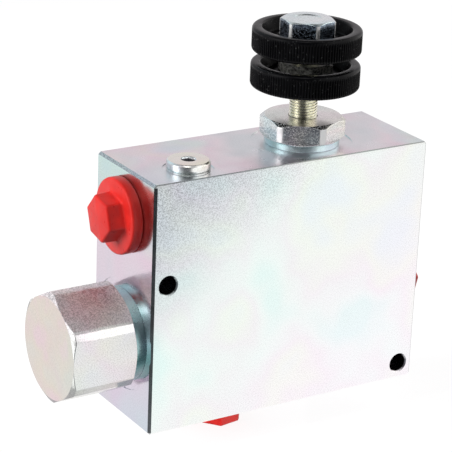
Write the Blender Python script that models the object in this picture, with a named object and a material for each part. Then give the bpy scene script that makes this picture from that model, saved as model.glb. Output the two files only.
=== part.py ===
"""Three-port flow control valve: a plated steel block with an adjusting spindle on top.

Oil enters the left port, passes a notched metering spool that the knob raises and lowers, and
leaves by the right port. A spring-loaded compensator spool behind the hex cap spills the excess
to the bottom port. Red plastic plugs close the three ports.

Units are metres. The origin is the centre of the block's rear face, +Z is up, and the front
looks along -Y. Every screwed-in piece is drawn in the frame of the face that it enters: its own
+Z axis points out of the block, and height 0 is the face.
"""
import math

import bmesh
import bpy
from mathutils import Matrix, Vector

MM = 0.001

# Block
BODY_LENGTH = 110 * MM
BODY_DEPTH = 40 * MM
BODY_HEIGHT = 90 * MM
BODY_EDGE_CHAMFER = 0.9 * MM

# Gaps between pieces that fit, seat or run in each other
FIT_GAP = 0.3 * MM
GROOVE_PLAY = 0.3 * MM

# Two screw holes through the block, measured from its left and bottom edges
MOUNT_HOLE_DIAMETER = 6.5 * MM
MOUNT_HOLE_EDGE = 6 * MM
MOUNT_HOLE_LEFT_HEIGHT = 54 * MM
MOUNT_HOLE_RIGHT_HEIGHT = 6 * MM
MOUNT_HOLE_CHAMFER = 0.5 * MM

# Where the bores lie, measured from the block's left and bottom edges and from its middle plane
SPINDLE_FROM_LEFT = 70 * MM
COMPENSATOR_HEIGHT = 30.3 * MM
INLET_HEIGHT = 73.7 * MM
TANK_FROM_LEFT = 39.8 * MM
DRILLING_FROM_LEFT = 18.8 * MM
DRILLING_OFF_MIDDLE = 9 * MM

# Ports and passages
PORT_DIAMETER = 15.2 * MM
PORT_DEPTH = 16 * MM
INLET_DEPTH = 24 * MM
PASSAGE_DIAMETER = 9 * MM
DRILLING_DIAMETER = 6 * MM
SPOT_FACE_DEPTH = 0.3 * MM

# Gland nut
GLAND_ACROSS_FLATS = 27 * MM
GLAND_BAR_DIAMETER = 30 * MM
GLAND_CHAMFER = 1.5 * MM
GLAND_TOP = 9.3 * MM
GLAND_COLLAR_DIAMETER = 26.4 * MM
GLAND_COLLAR_HEIGHT = 2 * MM
GLAND_THREAD_DIAMETER = 22 * MM
GLAND_THREAD_LENGTH = 9.7 * MM
GLAND_TURN = math.radians(25)
GLAND_BORE_STEP = 3 * MM
GLAND_SPOT_FACE_MARGIN = 2.8 * MM
GLAND_RING_DEPTH = 0.8 * MM
GLAND_RING_SECTION = 2 * MM
SPINDLE_RING_SECTION = 1.8 * MM
SPINDLE_RING_DEPTH = 5.2 * MM

# Adjusting spindle, a hexagon-headed screw
SPINDLE_DIAMETER = 10 * MM
THREAD_PITCH = 1 * MM
STEM_DIAMETER = 8 * MM
TURNS_DOWN = 1.5
TURNS_UP = 4.5
HEAD_ACROSS_FLATS = 17 * MM
HEAD_CHAMFER = 1.3 * MM
HEAD_BOTTOM = 37.6 * MM
HEAD_HEIGHT = 6.4 * MM
HEAD_TURN = math.radians(18.5)
HEAD_DIMPLE_DIAMETER = 11 * MM
HEAD_DIMPLE_DEPTH = 0.35 * MM
STEM_TAIL = 2.2 * MM
STOP_RING_THICKNESS = 1 * MM
STOP_RING_DIAMETER = 11 * MM
STOP_RING_SEAT_DIAMETER = 6 * MM

# Knobs, two alike
KNOB_DIAMETER = 38 * MM
KNOB_HEIGHT = 8.4 * MM
KNOB_EDGE_RADIUS = 1.1 * MM
KNOB_DISH_DIAMETER = 31.2 * MM
KNOB_DISH_DEPTH = 4.3 * MM
KNOB_HUB_DIAMETER = 22 * MM
KNOB_HUB_DROP = 3.6 * MM
KNOB_GAP = 4.1 * MM
INSERT_DIAMETER = 16 * MM
INSERT_STAND_OUT = 0.3 * MM
INSERT_COVER = 1.2 * MM
LOCK_NUT_ACROSS_FLATS = 17 * MM
LOCK_NUT_CHAMFER = 1.3 * MM
LOCK_NUT_HEIGHT = 3.8 * MM
LOCK_NUT_TURN = math.radians(10)

# Metering spool and its return spring
METERING_CHAMBER_DIAMETER = 14 * MM
METERING_CHAMBER_DEPTH = 28 * MM
METERING_BORE_DIAMETER = 10 * MM
METERING_BORE_DEPTH = 70 * MM
METERING_HEAD_DIAMETER = 7 * MM
METERING_HEAD_LENGTH = 6 * MM
METERING_SPOOL_LENGTH = 31 * MM
METERING_NOTCH_DEPTH = 2.5 * MM
METERING_SPRING_WIRE = 1.1 * MM
METERING_SPRING_TURNS = 6

# Compensator cap, spool and spring
CAP_ACROSS_FLATS = 36 * MM
CAP_BAR_DIAMETER = 39.5 * MM
CAP_CHAMFER = 1.75 * MM
CAP_LENGTH = 28 * MM
CAP_NECK_DIAMETER = 33 * MM
CAP_NECK_LENGTH = 4 * MM
CAP_SPOT_FACE_MARGIN = 3.2 * MM
CAP_THREAD_DIAMETER = 30 * MM
CAP_THREAD_LENGTH = 14 * MM
CAP_HOLLOW_DIAMETER = 10 * MM
CAP_HOLLOW_DEPTH = 32 * MM
CAP_TURN = math.radians(0)
CAP_RING_DEPTH = 1.4 * MM
CAP_RING_SECTION = 2.1 * MM
SPOOL_BORE_DIAMETER = 16 * MM
SPOOL_NOSE_DIAMETER = 12 * MM
SPOOL_NOSE_LENGTH = 16.7 * MM
SPOOL_LAND_LENGTH = 20 * MM
SPOOL_POCKET_DIAMETER = 11 * MM
SPOOL_POCKET_DEPTH = 13.7 * MM
SPOOL_GROOVE_WIDTH = 0.8 * MM
SPOOL_GROOVE_DEPTH = 0.5 * MM
SPOOL_GROOVE_COUNT = 3
SPRING_SEAT_WALL = 2 * MM
SPRING_SEAT_HOLE_DIAMETER = 7 * MM
SPRING_WIRE = 1.6 * MM
SPRING_TURNS = 6

# Plug of the drilled passage
PLUG_COLLAR_DIAMETER = 15 * MM
PLUG_COLLAR_HEIGHT = 3.4 * MM
PLUG_CHAMFER = 0.6 * MM
PLUG_SPOT_FACE_MARGIN = 1.3 * MM
PLUG_THREAD_DIAMETER = 10 * MM
PLUG_THREAD_LENGTH = 6.5 * MM
PLUG_SOCKET_ACROSS_FLATS = 5 * MM
PLUG_SOCKET_DEPTH = 3.4 * MM
PLUG_RING_DEPTH = 0.8 * MM
PLUG_RING_SECTION = 1.5 * MM

# Plastic port plugs, alike but for the tank plug's thinner flange
STOPPER_FLANGE_DIAMETER = 26.4 * MM
STOPPER_FLANGE_HEIGHT = 4.2 * MM
TANK_FLANGE_HEIGHT = 2.9 * MM
STOPPER_EDGE_RADIUS = 0.7 * MM
STOPPER_ACROSS_FLATS = 14.8 * MM
STOPPER_TOP = 10.2 * MM
STOPPER_SPIGOT_LENGTH = 10 * MM
STOPPER_WALL = 2.4 * MM
INLET_STOPPER_TURN = math.radians(19)
OUTLET_STOPPER_TURN = math.radians(15)
TANK_STOPPER_TURN = math.radians(51.4)

# Facets
ROUND_STEPS = 40
BORE_STEPS = 24
RING_STEPS = 20
ARC_STEPS = 3
RING_SECTION_STEPS = 6
COIL_STEPS = 10
SMOOTH_ANGLE = math.radians(32)
OVERCUT = 1 * MM

# Values that follow from the sizes above
SPINDLE_X = SPINDLE_FROM_LEFT - BODY_LENGTH / 2
TANK_X = TANK_FROM_LEFT - BODY_LENGTH / 2
MIDDLE_Y = -BODY_DEPTH / 2
COMPENSATOR_Z = COMPENSATOR_HEIGHT - BODY_HEIGHT / 2
TRAVEL_DOWN = TURNS_DOWN * THREAD_PITCH
TRAVEL_UP = TURNS_UP * THREAD_PITCH
TO_LEFT = Matrix.Rotation(-math.pi / 2, 4, "Y")
TO_RIGHT = Matrix.Rotation(math.pi / 2, 4, "Y")
TO_BOTTOM = Matrix.Rotation(math.pi, 4, "X")
UPRIGHT = Matrix.Identity(4)


def station(x, y, z, direction):
    """Frame of a face or axis: its place and the way its +Z points."""
    return Matrix.Translation(Vector((x, y, z))) @ direction


INLET_STATION = station(-BODY_LENGTH / 2, MIDDLE_Y, INLET_HEIGHT - BODY_HEIGHT / 2, TO_LEFT)
OUTLET_STATION = station(BODY_LENGTH / 2, MIDDLE_Y, COMPENSATOR_Z, TO_RIGHT)
TANK_STATION = station(TANK_X, MIDDLE_Y, -BODY_HEIGHT / 2, TO_BOTTOM)
CAP_STATION = station(-BODY_LENGTH / 2, MIDDLE_Y, COMPENSATOR_Z, TO_LEFT)
SPINDLE_STATION = station(SPINDLE_X, MIDDLE_Y, BODY_HEIGHT / 2, UPRIGHT)
DRILLING_STATION = station(
    DRILLING_FROM_LEFT - BODY_LENGTH / 2,
    MIDDLE_Y - DRILLING_OFF_MIDDLE,
    BODY_HEIGHT / 2,
    UPRIGHT,
)


def clear_scene():
    for old in list(bpy.data.objects):
        bpy.data.objects.remove(old)


def finish_material(name, color, roughness, metallic):
    material = bpy.data.materials.new(name)
    material.use_nodes = True
    shader = material.node_tree.nodes["Principled BSDF"]
    shader.inputs["Base Color"].default_value = (*color, 1)
    shader.inputs["Roughness"].default_value = roughness
    shader.inputs["Metallic"].default_value = metallic
    return material


def add_object(name, bm, place, material):
    """Put a mesh into the scene as a named object, smooth where its faces meet softly."""
    bmesh.ops.recalc_face_normals(bm, faces=bm.faces)
    mesh = bpy.data.meshes.new(name)
    bm.to_mesh(mesh)
    bm.free()
    mesh.shade_smooth()
    mesh.set_sharp_from_angle(angle=SMOOTH_ANGLE)
    if material:
        mesh.materials.append(material)
    made = bpy.data.objects.new(name, mesh)
    made.matrix_world = place
    bpy.context.scene.collection.objects.link(made)
    return made


def turned(profile, steps):
    """Mesh of a closed outline of (radius, height) points turned about Z."""
    bm = bmesh.new()
    rings = []
    for radius, height in profile:
        count = steps if radius > 0 else 1
        ring = []
        for step in range(count):
            angle = 2 * math.pi * step / count
            ring.append(bm.verts.new((radius * math.cos(angle), radius * math.sin(angle), height)))
        rings.append(ring)
    for lower, upper in zip(rings, rings[1:] + rings[:1]):
        for step in range(steps):
            corners = [
                lower[step % len(lower)],
                lower[(step + 1) % len(lower)],
                upper[(step + 1) % len(upper)],
                upper[step % len(upper)],
            ]
            distinct = list(dict.fromkeys(corners))
            if len(distinct) > 2:
                bm.faces.new(distinct)
    return bm


def prism(outline, bottom, top):
    """Mesh of a flat (x, y) outline raised from one height to another."""
    bm = bmesh.new()
    low = [bm.verts.new((x, y, bottom)) for x, y in outline]
    high = [bm.verts.new((x, y, top)) for x, y in outline]
    bm.faces.new(low)
    bm.faces.new(high)
    for index, corner in enumerate(low):
        after = (index + 1) % len(low)
        bm.faces.new((corner, low[after], high[after], high[index]))
    return bm


def hexagon(across_flats, turn):
    radius = across_flats / math.sqrt(3)
    angles = [turn + step * math.pi / 3 for step in range(6)]
    return [(radius * math.cos(angle), radius * math.sin(angle)) for angle in angles]


def tool(name, bm, place):
    """Body that only shapes another piece and isn't part of the object."""
    made = add_object(name, bm, place, None)
    made.hide_render = True
    made.display_type = "WIRE"
    return made


def shape(target, operation, other):
    """Cut, keep or join a piece with a shaping body."""
    change = target.modifiers.new(other.name, "BOOLEAN")
    change.operation = operation
    change.object = other
    change.solver = "EXACT"


def stepped_bore(steps_down):
    """Outline of a bore from (radius, depth) steps, starting above the face it enters."""
    outline = [(0, OVERCUT)]
    start = OVERCUT
    for radius, depth in steps_down:
        outline += [(radius, start), (radius, -depth)]
        start = -depth
    return outline + [(0, start)]


def rounded_corner(radius, height, size, from_angle):
    """Quarter arc of an outline, counter-clockwise from an angle, about (radius, height)."""
    points = []
    for step in range(ARC_STEPS + 1):
        angle = from_angle + step * math.pi / 2 / ARC_STEPS
        points.append((radius + size * math.cos(angle), height + size * math.sin(angle)))
    return points


def hex_blank(bar_radius, chamfer, bottom, top, bottom_chamfered):
    """Outline of the round bar that a hexagon is milled on, with its 30 degree end chamfers."""
    face_radius = bar_radius - chamfer
    drop = chamfer * math.tan(math.radians(30))
    outline = [(0, bottom)]
    if bottom_chamfered:
        outline += [(face_radius, bottom), (bar_radius, bottom + drop)]
    else:
        outline += [(bar_radius, bottom)]
    outline += [(bar_radius, top - drop), (face_radius, top), (0, top)]
    return outline


def o_ring(name, inner_radius, section, middle, place, material):
    """Rubber ring of round section lying at a height in its groove."""
    centre = inner_radius + section / 2
    outline = []
    for step in range(RING_SECTION_STEPS):
        angle = 2 * math.pi * step / RING_SECTION_STEPS
        radius = centre + section / 2 * math.cos(angle)
        outline.append((radius, middle + section / 2 * math.sin(angle)))
    return add_object(name, turned(outline, RING_STEPS), place, material)


def groove_notch(wall, floor, top, section):
    """Outline points of a ring groove in an outside wall, going down."""
    bottom = top - section - 2 * GROOVE_PLAY
    return [(wall, top), (floor, top), (floor, bottom), (wall, bottom)]


def coil_spring(name, mean_radius, wire, turns, bottom, top, place, material):
    """Compression spring of one round wire between two heights."""
    count = turns * COIL_STEPS
    low = bottom + wire / 2
    high = top - wire / 2
    points = []
    for step in range(count + 1):
        angle = 2 * math.pi * step / COIL_STEPS
        height = low + (high - low) * step / count
        points.append(Vector((mean_radius * math.cos(angle), mean_radius * math.sin(angle), height)))
    apart = [
        (points[first] - points[second]).length
        for first in range(count + 1)
        for second in range(first + COIL_STEPS // 2, count + 1)
    ]
    print(name, "least gap between turns, mm:", round((min(apart) - wire) / MM, 2))
    curve = bpy.data.curves.new(name, "CURVE")
    curve.dimensions = "3D"
    curve.bevel_depth = wire / 2
    curve.bevel_resolution = 1
    curve.use_fill_caps = True
    spline = curve.splines.new("POLY")
    spline.points.add(count)
    for knot, point in zip(spline.points, points):
        knot.co = (*point, 1)
    curve.materials.append(material)
    made = bpy.data.objects.new(name, curve)
    made.matrix_world = place
    bpy.context.scene.collection.objects.link(made)
    return made


def bore_tool(name, steps_down, place):
    return tool(name, turned(stepped_bore(steps_down), BORE_STEPS), place)


def spot_face_tool(name, radius, place):
    return tool(name, turned(stepped_bore([(radius, SPOT_FACE_DEPTH)]), ROUND_STEPS), place)


def mount_hole_tool(name, x, z):
    """Screw hole through the block, chamfered at both faces, along the block's depth."""
    radius = MOUNT_HOLE_DIAMETER / 2
    flare = radius + MOUNT_HOLE_CHAMFER + OVERCUT
    half = BODY_DEPTH / 2
    outline = [
        (0, -half - OVERCUT),
        (flare, -half - OVERCUT),
        (radius, -half + MOUNT_HOLE_CHAMFER),
        (radius, half - MOUNT_HOLE_CHAMFER),
        (flare, half + OVERCUT),
        (0, half + OVERCUT),
    ]
    place = station(x, MIDDLE_Y, z, Matrix.Rotation(math.pi / 2, 4, "X"))
    return tool(name, turned(outline, BORE_STEPS), place)


def make_valve_body(steel):
    """Block with its chamfered edges, stepped bores, ports, drilled passage and screw holes."""
    bm = bmesh.new()
    size = Matrix.Diagonal((BODY_LENGTH, BODY_DEPTH, BODY_HEIGHT, 1))
    bmesh.ops.create_cube(bm, size=1, matrix=Matrix.Translation((0, MIDDLE_Y, 0)) @ size)
    bmesh.ops.bevel(
        bm, geom=bm.edges[:], offset=BODY_EDGE_CHAMFER, segments=1, profile=0.5, affect="EDGES"
    )
    body = add_object("valve_body", bm, UPRIGHT, steel)

    port = PORT_DIAMETER / 2
    passage = PASSAGE_DIAMETER / 2
    to_spindle_from_left = SPINDLE_FROM_LEFT + OVERCUT
    to_spindle_from_right = BODY_LENGTH - SPINDLE_FROM_LEFT + OVERCUT
    cap_bore_depth = CAP_THREAD_LENGTH + OVERCUT
    gland_bore_depth = GLAND_THREAD_LENGTH + FIT_GAP
    tools = [
        bore_tool("inlet_bore", [(port, INLET_DEPTH), (passage, to_spindle_from_left)], INLET_STATION),
        bore_tool("outlet_bore", [(port, PORT_DEPTH), (passage, to_spindle_from_right)], OUTLET_STATION),
        bore_tool("tank_bore", [(port, PORT_DEPTH), (passage, COMPENSATOR_HEIGHT)], TANK_STATION),
        bore_tool(
            "compensator_bore",
            [
                (CAP_THREAD_DIAMETER / 2 + FIT_GAP, cap_bore_depth),
                (SPOOL_BORE_DIAMETER / 2, spring_seat_depth()),
                (SPRING_SEAT_HOLE_DIAMETER / 2, to_spindle_from_left),
            ],
            CAP_STATION,
        ),
        bore_tool(
            "metering_bore",
            [
                (GLAND_THREAD_DIAMETER / 2 + FIT_GAP, gland_bore_depth),
                (METERING_CHAMBER_DIAMETER / 2, METERING_CHAMBER_DEPTH),
                (METERING_BORE_DIAMETER / 2, METERING_BORE_DEPTH),
            ],
            SPINDLE_STATION,
        ),
        bore_tool(
            "drilling",
            [
                (PLUG_THREAD_DIAMETER / 2 + FIT_GAP, PLUG_THREAD_LENGTH + OVERCUT),
                (DRILLING_DIAMETER / 2, BODY_HEIGHT - COMPENSATOR_HEIGHT),
            ],
            DRILLING_STATION,
        ),
        spot_face_tool("cap_spot_face", CAP_NECK_DIAMETER / 2 + CAP_SPOT_FACE_MARGIN, CAP_STATION),
        spot_face_tool("gland_spot_face", GLAND_BAR_DIAMETER / 2 + GLAND_SPOT_FACE_MARGIN, SPINDLE_STATION),
        spot_face_tool("plug_spot_face", PLUG_COLLAR_DIAMETER / 2 + PLUG_SPOT_FACE_MARGIN, DRILLING_STATION),
    ]
    hole_x = BODY_LENGTH / 2 - MOUNT_HOLE_EDGE
    hole_z = MOUNT_HOLE_LEFT_HEIGHT - BODY_HEIGHT / 2
    tools.append(mount_hole_tool("left_screw_hole", -hole_x, hole_z))
    hole_z = MOUNT_HOLE_RIGHT_HEIGHT - BODY_HEIGHT / 2
    tools.append(mount_hole_tool("right_screw_hole", hole_x, hole_z))
    for part in tools:
        shape(body, "DIFFERENCE", part)


def spring_seat_depth():
    """Depth below the left face of the shoulder that the compensator spring pushes on."""
    return SPINDLE_FROM_LEFT - METERING_BORE_DIAMETER / 2 - SPRING_SEAT_WALL


def make_gland_nut(steel, rubber):
    """Hexagon nut that closes the metering bore and carries the spindle's thread and seal."""
    seat = FIT_GAP - SPOT_FACE_DEPTH
    bar = GLAND_BAR_DIAMETER / 2
    blank = hex_blank(bar, GLAND_CHAMFER, GLAND_COLLAR_HEIGHT, GLAND_TOP, True)
    nut = add_object("gland_nut", turned(blank, ROUND_STEPS), SPINDLE_STATION, steel)
    flats = prism(hexagon(GLAND_ACROSS_FLATS, GLAND_TURN), seat, GLAND_TOP + OVERCUT)
    shape(nut, "INTERSECT", tool("gland_flats", flats, SPINDLE_STATION))

    thread = GLAND_THREAD_DIAMETER / 2
    collar = GLAND_COLLAR_DIAMETER / 2
    into_hex = GLAND_COLLAR_HEIGHT + OVERCUT
    ring_floor = thread - GLAND_RING_SECTION - GROOVE_PLAY
    shank = [(0, -GLAND_THREAD_LENGTH), (thread, -GLAND_THREAD_LENGTH)]
    shank += reversed(groove_notch(thread, ring_floor, -GLAND_RING_DEPTH, GLAND_RING_SECTION))
    shank += [(thread, seat), (collar, seat), (collar, GLAND_COLLAR_HEIGHT)]
    shank += [(thread, GLAND_COLLAR_HEIGHT + OVERCUT / 2), (thread, into_hex), (0, into_hex)]
    shape(nut, "UNION", tool("gland_shank", turned(shank, ROUND_STEPS), SPINDLE_STATION))

    stem = STEM_DIAMETER / 2 + FIT_GAP
    ring_wall = stem + SPINDLE_RING_SECTION + GROOVE_PLAY
    ring_bottom = SPINDLE_RING_DEPTH + SPINDLE_RING_SECTION + 2 * GROOVE_PLAY
    thread_bore = SPINDLE_DIAMETER / 2 + FIT_GAP
    bore = [(0, GLAND_TOP + OVERCUT), (thread_bore, GLAND_TOP + OVERCUT)]
    bore += [(thread_bore, -GLAND_BORE_STEP), (stem, -GLAND_BORE_STEP)]
    bore += [(stem, -SPINDLE_RING_DEPTH), (ring_wall, -SPINDLE_RING_DEPTH)]
    bore += [(ring_wall, -ring_bottom), (stem, -ring_bottom)]
    bore += [(stem, -GLAND_THREAD_LENGTH - OVERCUT), (0, -GLAND_THREAD_LENGTH - OVERCUT)]
    shape(nut, "DIFFERENCE", tool("gland_bore", turned(bore, BORE_STEPS), SPINDLE_STATION))

    middle = -GLAND_RING_DEPTH - GROOVE_PLAY - GLAND_RING_SECTION / 2
    inner = ring_floor + GROOVE_PLAY
    o_ring("gland_o_ring", inner, GLAND_RING_SECTION, middle, SPINDLE_STATION, rubber)
    middle = -SPINDLE_RING_DEPTH - GROOVE_PLAY - SPINDLE_RING_SECTION / 2
    o_ring("spindle_o_ring", stem, SPINDLE_RING_SECTION, middle, SPINDLE_STATION, rubber)


def stop_ring_top():
    """Height of the ring that stops the spindle against the gland when it is turned up."""
    return -GLAND_THREAD_LENGTH - TRAVEL_UP - FIT_GAP


def spindle_end():
    return stop_ring_top() - STOP_RING_THICKNESS - STEM_TAIL


def make_spindle(steel, spring_steel):
    """Hexagon-headed screw with a stem and its stop ring below the thread."""
    thread = SPINDLE_DIAMETER / 2
    stem = STEM_DIAMETER / 2
    head_top = HEAD_BOTTOM + HEAD_HEIGHT
    thread_end = TRAVEL_DOWN + FIT_GAP - GLAND_BORE_STEP
    head_bar = HEAD_ACROSS_FLATS / math.sqrt(3)
    blank = hex_blank(head_bar, HEAD_CHAMFER, HEAD_BOTTOM, head_top, False)
    spindle = add_object("adjusting_spindle", turned(blank, ROUND_STEPS), SPINDLE_STATION, steel)
    flats = prism(hexagon(HEAD_ACROSS_FLATS, HEAD_TURN), HEAD_BOTTOM - OVERCUT, head_top + OVERCUT)
    shape(spindle, "INTERSECT", tool("head_flats", flats, SPINDLE_STATION))

    seat = STOP_RING_SEAT_DIAMETER / 2
    ring_top = stop_ring_top()
    ring_bottom = ring_top - STOP_RING_THICKNESS
    chamfer = thread - stem
    shank = [(0, spindle_end()), (stem, spindle_end())]
    shank += [(stem, ring_bottom - GROOVE_PLAY), (seat, ring_bottom - GROOVE_PLAY)]
    shank += [(seat, ring_top + GROOVE_PLAY), (stem, ring_top + GROOVE_PLAY)]
    shank += [(stem, thread_end), (thread, thread_end + chamfer)]
    shank += [(thread, HEAD_BOTTOM + OVERCUT), (0, HEAD_BOTTOM + OVERCUT)]
    shape(spindle, "UNION", tool("spindle_shank", turned(shank, BORE_STEPS), SPINDLE_STATION))

    dimple = HEAD_DIMPLE_DIAMETER / 2
    hollow = [(0, head_top - HEAD_DIMPLE_DEPTH), (dimple, head_top), (dimple, head_top + OVERCUT)]
    hollow += [(0, head_top + OVERCUT)]
    shape(spindle, "DIFFERENCE", tool("head_dimple", turned(hollow, BORE_STEPS), SPINDLE_STATION))

    inner = seat + FIT_GAP
    outer = STOP_RING_DIAMETER / 2
    ring = [(inner, ring_bottom), (outer, ring_bottom), (outer, ring_top), (inner, ring_top)]
    add_object("spindle_stop_ring", turned(ring, RING_STEPS), SPINDLE_STATION, spring_steel)


def knob_outline(bottom):
    """Outline of a knob with rounded edges, a dished top and a raised hub that covers its insert."""
    top = bottom + KNOB_HEIGHT
    rim = KNOB_DIAMETER / 2
    edge = KNOB_EDGE_RADIUS
    dish = KNOB_DISH_DIAMETER / 2
    floor = top - KNOB_DISH_DEPTH
    hub = KNOB_HUB_DIAMETER / 2
    hub_top = top - KNOB_HUB_DROP
    bore = INSERT_DIAMETER / 2 + FIT_GAP
    lip = SPINDLE_DIAMETER / 2 + FIT_GAP
    cover_bottom = hub_top - INSERT_COVER
    outline = [(lip, cover_bottom), (bore, cover_bottom), (bore, bottom)]
    outline += rounded_corner(rim - edge, bottom + edge, edge, -math.pi / 2)
    outline += rounded_corner(rim - edge, top - edge, edge, 0)
    outline += [(dish, top), (dish - edge, floor), (hub + edge, floor), (hub, hub_top), (lip, hub_top)]
    return outline


def make_knob(knob_name, insert_name, bottom, plastic, steel):
    """Moulded knob round a steel insert that the spindle passes through."""
    add_object(knob_name, turned(knob_outline(bottom), ROUND_STEPS), SPINDLE_STATION, plastic)
    low = bottom - INSERT_STAND_OUT
    high = bottom + KNOB_HEIGHT - KNOB_HUB_DROP - INSERT_COVER - FIT_GAP
    inner = SPINDLE_DIAMETER / 2 + FIT_GAP
    outer = INSERT_DIAMETER / 2
    sleeve = [(inner, low), (outer, low), (outer, high), (inner, high)]
    add_object(insert_name, turned(sleeve, BORE_STEPS), SPINDLE_STATION, steel)


def make_lock_nut(bottom, steel):
    """Thin hexagon nut on the lock knob's hub."""
    top = bottom + LOCK_NUT_HEIGHT
    bar = LOCK_NUT_ACROSS_FLATS / math.sqrt(3)
    blank = hex_blank(bar, LOCK_NUT_CHAMFER, bottom, top, False)
    nut = add_object("lock_nut", turned(blank, ROUND_STEPS), SPINDLE_STATION, steel)
    flats = prism(hexagon(LOCK_NUT_ACROSS_FLATS, LOCK_NUT_TURN), bottom - OVERCUT, top + OVERCUT)
    shape(nut, "INTERSECT", tool("lock_nut_flats", flats, SPINDLE_STATION))
    inner = SPINDLE_DIAMETER / 2 + FIT_GAP
    bore = [(0, bottom - OVERCUT), (inner, bottom - OVERCUT), (inner, top + OVERCUT), (0, top + OVERCUT)]
    shape(nut, "DIFFERENCE", tool("lock_nut_bore", turned(bore, BORE_STEPS), SPINDLE_STATION))


def make_knobs(plastic, steel):
    """Adjusting knob under the screw's head, and the lock knob one gap below it."""
    upper = HEAD_BOTTOM - FIT_GAP - KNOB_HEIGHT + KNOB_HUB_DROP
    lower = upper - KNOB_GAP - KNOB_HEIGHT
    make_knob("adjusting_knob", "adjusting_knob_insert", upper, plastic, steel)
    make_knob("lock_knob", "lock_knob_insert", lower, plastic, steel)
    make_lock_nut(lower + KNOB_HEIGHT - KNOB_HUB_DROP + FIT_GAP, steel)


def make_metering_spool(steel, spring_steel):
    """Spool under the spindle's end, with a tapered notch, and the spring that lifts it."""
    top = spindle_end() - FIT_GAP
    bottom = top - METERING_SPOOL_LENGTH
    head = METERING_HEAD_DIAMETER / 2
    land = METERING_BORE_DIAMETER / 2 - FIT_GAP
    land_top = top - METERING_HEAD_LENGTH
    outline = [(0, bottom), (land, bottom), (land, land_top), (head, land_top), (head, top), (0, top)]
    spool = add_object("metering_spool", turned(outline, BORE_STEPS), SPINDLE_STATION, steel)
    wedge = [(land, -land_top), (land - METERING_NOTCH_DEPTH, -bottom + OVERCUT)]
    wedge += [(land + OVERCUT, -bottom + OVERCUT), (land + OVERCUT, -land_top)]
    sideways = SPINDLE_STATION @ Matrix.Rotation(-math.pi / 2, 4, "X")
    shape(spool, "DIFFERENCE", tool("metering_notch", prism(wedge, -land * 2, land * 2), sideways))
    coil_spring(
        "metering_spring",
        METERING_BORE_DIAMETER / 2 - FIT_GAP * 2 - METERING_SPRING_WIRE / 2,
        METERING_SPRING_WIRE,
        METERING_SPRING_TURNS,
        -METERING_BORE_DEPTH + FIT_GAP,
        bottom - FIT_GAP,
        SPINDLE_STATION,
        spring_steel,
    )


def make_compensator_cap(steel, rubber):
    """Large hexagon cap with a round neck, a threaded shank and a hollow inside."""
    seat = FIT_GAP - SPOT_FACE_DEPTH
    bar = CAP_BAR_DIAMETER / 2
    blank = hex_blank(bar, CAP_CHAMFER, CAP_NECK_LENGTH, CAP_LENGTH, True)
    cap = add_object("compensator_cap", turned(blank, ROUND_STEPS), CAP_STATION, steel)
    flats = prism(hexagon(CAP_ACROSS_FLATS, CAP_TURN), 0, CAP_LENGTH + OVERCUT)
    shape(cap, "INTERSECT", tool("cap_flats", flats, CAP_STATION))

    thread = CAP_THREAD_DIAMETER / 2
    neck = CAP_NECK_DIAMETER / 2
    into_hex = CAP_NECK_LENGTH + OVERCUT
    ring_floor = thread - CAP_RING_SECTION - GROOVE_PLAY
    shank = [(0, -CAP_THREAD_LENGTH), (thread, -CAP_THREAD_LENGTH)]
    shank += reversed(groove_notch(thread, ring_floor, -CAP_RING_DEPTH, CAP_RING_SECTION))
    shank += [(thread, seat), (neck, seat), (neck, into_hex), (0, into_hex)]
    shape(cap, "UNION", tool("cap_shank", turned(shank, ROUND_STEPS), CAP_STATION))

    hollow = CAP_HOLLOW_DIAMETER / 2
    mouth = -CAP_THREAD_LENGTH - OVERCUT
    floor = CAP_HOLLOW_DEPTH - CAP_THREAD_LENGTH
    bore = [(0, mouth), (hollow, mouth), (hollow, floor), (0, floor)]
    shape(cap, "DIFFERENCE", tool("cap_hollow", turned(bore, BORE_STEPS), CAP_STATION))

    middle = -CAP_RING_DEPTH - GROOVE_PLAY - CAP_RING_SECTION / 2
    o_ring("cap_o_ring", ring_floor + GROOVE_PLAY, CAP_RING_SECTION, middle, CAP_STATION, rubber)


def make_compensator_spool(steel, spring_steel):
    """Spool that rests on the cap, with balancing grooves and a pocket for its spring."""
    nose_end = -CAP_THREAD_LENGTH - FIT_GAP
    land_start = nose_end - SPOOL_NOSE_LENGTH
    land_end = land_start - SPOOL_LAND_LENGTH
    nose = SPOOL_NOSE_DIAMETER / 2
    land = SPOOL_BORE_DIAMETER / 2 - FIT_GAP
    pocket = SPOOL_POCKET_DIAMETER / 2
    pocket_floor = land_end + SPOOL_POCKET_DEPTH
    outline = [(0, nose_end), (nose, nose_end), (nose, land_start), (land, land_start)]
    spacing = SPOOL_LAND_LENGTH / (SPOOL_GROOVE_COUNT + 1)
    for groove in range(1, SPOOL_GROOVE_COUNT + 1):
        upper = land_start - groove * spacing
        lower = upper - SPOOL_GROOVE_WIDTH
        floor = land - SPOOL_GROOVE_DEPTH
        outline += [(land, upper), (floor, upper), (floor, lower), (land, lower)]
    outline += [(land, land_end), (pocket, land_end), (pocket, pocket_floor), (0, pocket_floor)]
    add_object("compensator_spool", turned(outline, BORE_STEPS), CAP_STATION, steel)
    coil_spring(
        "compensator_spring",
        pocket - FIT_GAP * 2 - SPRING_WIRE / 2,
        SPRING_WIRE,
        SPRING_TURNS,
        -spring_seat_depth() + FIT_GAP,
        pocket_floor - FIT_GAP,
        CAP_STATION,
        spring_steel,
    )


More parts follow.
